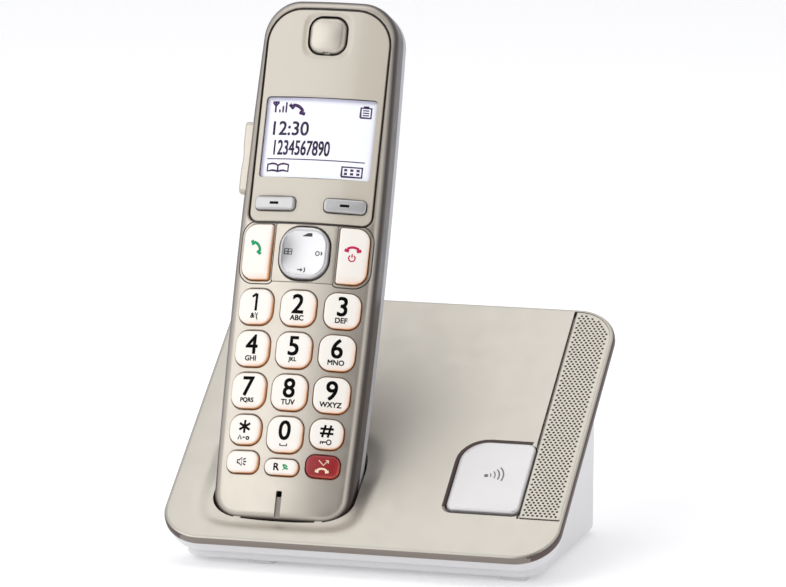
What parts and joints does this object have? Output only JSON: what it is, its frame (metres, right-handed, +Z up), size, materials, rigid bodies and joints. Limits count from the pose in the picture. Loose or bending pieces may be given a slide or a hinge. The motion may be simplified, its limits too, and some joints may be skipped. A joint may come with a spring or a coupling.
{
  "type": "cordless telephone with charging base",
  "caption": "Slim cordless telephone handset with large keys and a small display, standing in a sloped charging base with a page key and a speaker grille.",
  "frame": {"origin": "middle of the whole object's footprint, on the surface it stands on", "axes": "+Z up, +X to the object's right as seen from its front, the keys face -Y and lean up"},
  "size_m": [0.1308, 0.096, 0.1739],
  "materials": {
    "champagne_case": "satin pearl champagne lacquer on ABS",
    "grey_case": "fine moulded light grey ABS",
    "gloss_fascia": "glossy champagne panel",
    "clear_window": "clear acrylic pane",
    "lcd": "pale backlit liquid crystal display",
    "champagne_cap": "satin metallic champagne",
    "soft_key_grey": "satin silver-grey lacquer",
    "key_white": "warm white translucent silicone-backed key",
    "key_red": "dark red translucent key",
    "key_pearl": "pearl white key",
    "nylon": "moulded nylon",
    "silicone_mat": "silicone rubber mat",
    "circuit_board": "glass-epoxy circuit board",
    "speaker_grey": "pressed and moulded transducer can",
    "cell_wrap": "shrink-wrapped cell",
    "plated_contact": "nickel plated spring contact",
    "screw_steel": "zinc plated steel",
    "champagne_panel": "satin pearl champagne lacquer on ABS",
    "grille": "perforated champagne strip",
    "page_key_silver": "satin silver-white key",
    "white_case": "moulded white ABS",
    "black_plastic": "black moulded plastic",
    "rubber_foot": "grey rubber pad"
  },
  "bodies": {
    "base": {"base_top_cover": "champagne_panel", "speaker_grille": "grille", "base_lower_case": "white_case", "base_board": "circuit_board", "base_speaker": "speaker_grey", "page_switch": "black_plastic", "line_jack": "black_plastic", "power_jack": "black_plastic", "foot_front_left": "rubber_foot", "foot_front_right": "rubber_foot", "foot_back_left": "rubber_foot", "foot_back_right": "rubber_foot", "base_screw_left": "screw_steel", "base_screw_right": "screw_steel"},
    "handset": {"front_case": "champagne_case", "rear_case": "grey_case", "display_fascia": "gloss_fascia", "display_window": "clear_window", "lcd_module": "lcd", "earpiece_cap": "champagne_cap", "earpiece_speaker": "speaker_grey", "navigator_plate": "champagne_cap", "keypad_mat": "silicone_mat", "handset_board": "circuit_board", "microphone": "speaker_grey", "ringer_speaker": "speaker_grey", "battery_cell_1": "cell_wrap", "battery_cell_2": "cell_wrap", "battery_strip_lower": "plated_contact", "battery_strip_upper": "plated_contact", "charge_terminal_left": "plated_contact", "charge_terminal_right": "plated_contact", "handset_screw_left": "screw_steel", "handset_screw_right": "screw_steel"},
    "key_star": {"key_star": "key_white"},
    "key_hash": {"key_hash": "key_white"},
    "key_0": {"key_0": "key_white"},
    "speakerphone_key": {"speakerphone_key": "key_white"},
    "recall_key": {"recall_key": "key_white"},
    "call_block_key": {"call_block_key": "key_red"},
    "talk_key": {"talk_key": "key_pearl"},
    "off_key": {"off_key": "key_pearl"},
    "softkey_left": {"softkey_left": "soft_key_grey"},
    "softkey_right": {"softkey_right": "soft_key_grey"},
    "key_1": {"key_1": "key_white"},
    "key_2": {"key_2": "key_white"},
    "key_3": {"key_3": "key_white"},
    "key_4": {"key_4": "key_white"},
    "key_5": {"key_5": "key_white"},
    "key_6": {"key_6": "key_white"},
    "key_7": {"key_7": "key_white"},
    "key_8": {"key_8": "key_white"},
    "key_9": {"key_9": "key_white"},
    "navigator_pivot": {"navigator_pivot": "nylon"},
    "navigator_key": {"navigator_key": "key_pearl"},
    "volume_key": {"volume_key": "soft_key_grey"},
    "battery_door": {"battery_door": "grey_case"},
    "page_key": {"page_key": "page_key_silver"},
    "charge_contact_left": {"charge_contact_left": "plated_contact"},
    "charge_contact_right": {"charge_contact_right": "plated_contact"}
  },
  "joints": [
    {"name": "handset_lift", "type": "slide", "parent": "base", "child": "handset", "axis": [0, 0.3567, 0.9342], "range_m": [0, 0.07]},
    {"name": "key_star_press", "type": "slide", "parent": "handset", "child": "key_star", "axis": [0.1421, 0.9247, -0.3531], "range_m": [0, 0.0007], "stiffness_N_per_m": 400},
    {"name": "key_hash_press", "type": "slide", "parent": "handset", "child": "key_hash", "axis": [-0.1421, 0.9247, -0.3531], "range_m": [0, 0.0007], "stiffness_N_per_m": 400},
    {"name": "key_0_press", "type": "slide", "parent": "handset", "child": "key_0", "axis": [0, 0.9342, -0.3567], "range_m": [0, 0.0007], "stiffness_N_per_m": 400},
    {"name": "speakerphone_key_press", "type": "slide", "parent": "handset", "child": "speakerphone_key", "axis": [0.1396, 0.9251, -0.3532], "range_m": [0, 0.0007], "stiffness_N_per_m": 400},
    {"name": "recall_key_press", "type": "slide", "parent": "handset", "child": "recall_key", "axis": [0, 0.9342, -0.3567], "range_m": [0, 0.0007], "stiffness_N_per_m": 400},
    {"name": "call_block_key_press", "type": "slide", "parent": "handset", "child": "call_block_key", "axis": [-0.1396, 0.9251, -0.3532], "range_m": [0, 0.0007], "stiffness_N_per_m": 400},
    {"name": "talk_key_press", "type": "slide", "parent": "handset", "child": "talk_key", "axis": [0.1684, 0.9209, -0.3516], "range_m": [0, 0.0007], "stiffness_N_per_m": 400},
    {"name": "off_key_press", "type": "slide", "parent": "handset", "child": "off_key", "axis": [-0.1684, 0.9209, -0.3516], "range_m": [0, 0.0007], "stiffness_N_per_m": 400},
    {"name": "softkey_left_press", "type": "slide", "parent": "handset", "child": "softkey_left", "axis": [0.1232, 0.9271, -0.354], "range_m": [0, 0.0007], "stiffness_N_per_m": 400},
    {"name": "softkey_right_press", "type": "slide", "parent": "handset", "child": "softkey_right", "axis": [-0.1232, 0.9271, -0.354], "range_m": [0, 0.0007], "stiffness_N_per_m": 400},
    {"name": "key_1_press", "type": "slide", "parent": "handset", "child": "key_1", "axis": [0.1516, 0.9234, -0.3526], "range_m": [0, 0.0007], "stiffness_N_per_m": 400},
    {"name": "key_2_press", "type": "slide", "parent": "handset", "child": "key_2", "axis": [0, 0.9342, -0.3567], "range_m": [0, 0.0007], "stiffness_N_per_m": 400},
    {"name": "key_3_press", "type": "slide", "parent": "handset", "child": "key_3", "axis": [-0.1516, 0.9234, -0.3526], "range_m": [0, 0.0007], "stiffness_N_per_m": 400},
    {"name": "key_4_press", "type": "slide", "parent": "handset", "child": "key_4", "axis": [0.1483, 0.9239, -0.3528], "range_m": [0, 0.0007], "stiffness_N_per_m": 400},
    {"name": "key_5_press", "type": "slide", "parent": "handset", "child": "key_5", "axis": [0, 0.9342, -0.3567], "range_m": [0, 0.0007], "stiffness_N_per_m": 400},
    {"name": "key_6_press", "type": "slide", "parent": "handset", "child": "key_6", "axis": [-0.1483, 0.9239, -0.3528], "range_m": [0, 0.0007], "stiffness_N_per_m": 400},
    {"name": "key_7_press", "type": "slide", "parent": "handset", "child": "key_7", "axis": [0.1451, 0.9243, -0.353], "range_m": [0, 0.0007], "stiffness_N_per_m": 400},
    {"name": "key_8_press", "type": "slide", "parent": "handset", "child": "key_8", "axis": [0, 0.9342, -0.3567], "range_m": [0, 0.0007], "stiffness_N_per_m": 400},
    {"name": "key_9_press", "type": "slide", "parent": "handset", "child": "key_9", "axis": [-0.1451, 0.9243, -0.353], "range_m": [0, 0.0007], "stiffness_N_per_m": 400},
    {"name": "navigator_rock_up_down", "type": "hinge", "parent": "handset", "child": "navigator_pivot", "pos_m": [-0.02735, -0.00869, 0.09608], "axis": [1, 0, 0], "range_deg": [-2.5, 2.5], "stiffness_Nm_per_rad": 0.06},
    {"name": "navigator_rock_left_right", "type": "hinge", "parent": "navigator_pivot", "child": "navigator_key", "pos_m": [-0.02735, -0.00869, 0.09608], "axis": [0, 0.3567, 0.9342], "range_deg": [-2.5, 2.5], "stiffness_Nm_per_rad": 0.06},
    {"name": "volume_key_rock", "type": "hinge", "parent": "handset", "child": "volume_key", "pos_m": [-0.04985, 0.00842, 0.12348], "axis": [0, -0.9342, 0.3567], "range_deg": [-2.5, 2.5], "stiffness_Nm_per_rad": 0.08},
    {"name": "battery_door_off", "type": "slide", "parent": "handset", "child": "battery_door", "axis": [0, 0.9342, -0.3567], "range_m": [0, 0.006]},
    {"name": "page_key_press", "type": "slide", "parent": "base", "child": "page_key", "axis": [0, 0.5635, -0.8261], "range_m": [0, 0.0008], "stiffness_N_per_m": 600},
    {"name": "charge_contact_left_give", "type": "slide", "parent": "base", "child": "charge_contact_left", "axis": [0, -0.3567, -0.9342], "range_m": [0, 0.0008], "stiffness_N_per_m": 800},
    {"name": "charge_contact_right_give", "type": "slide", "parent": "base", "child": "charge_contact_right", "axis": [0, -0.3567, -0.9342], "range_m": [0, 0.0008], "stiffness_N_per_m": 800}
  ]
}
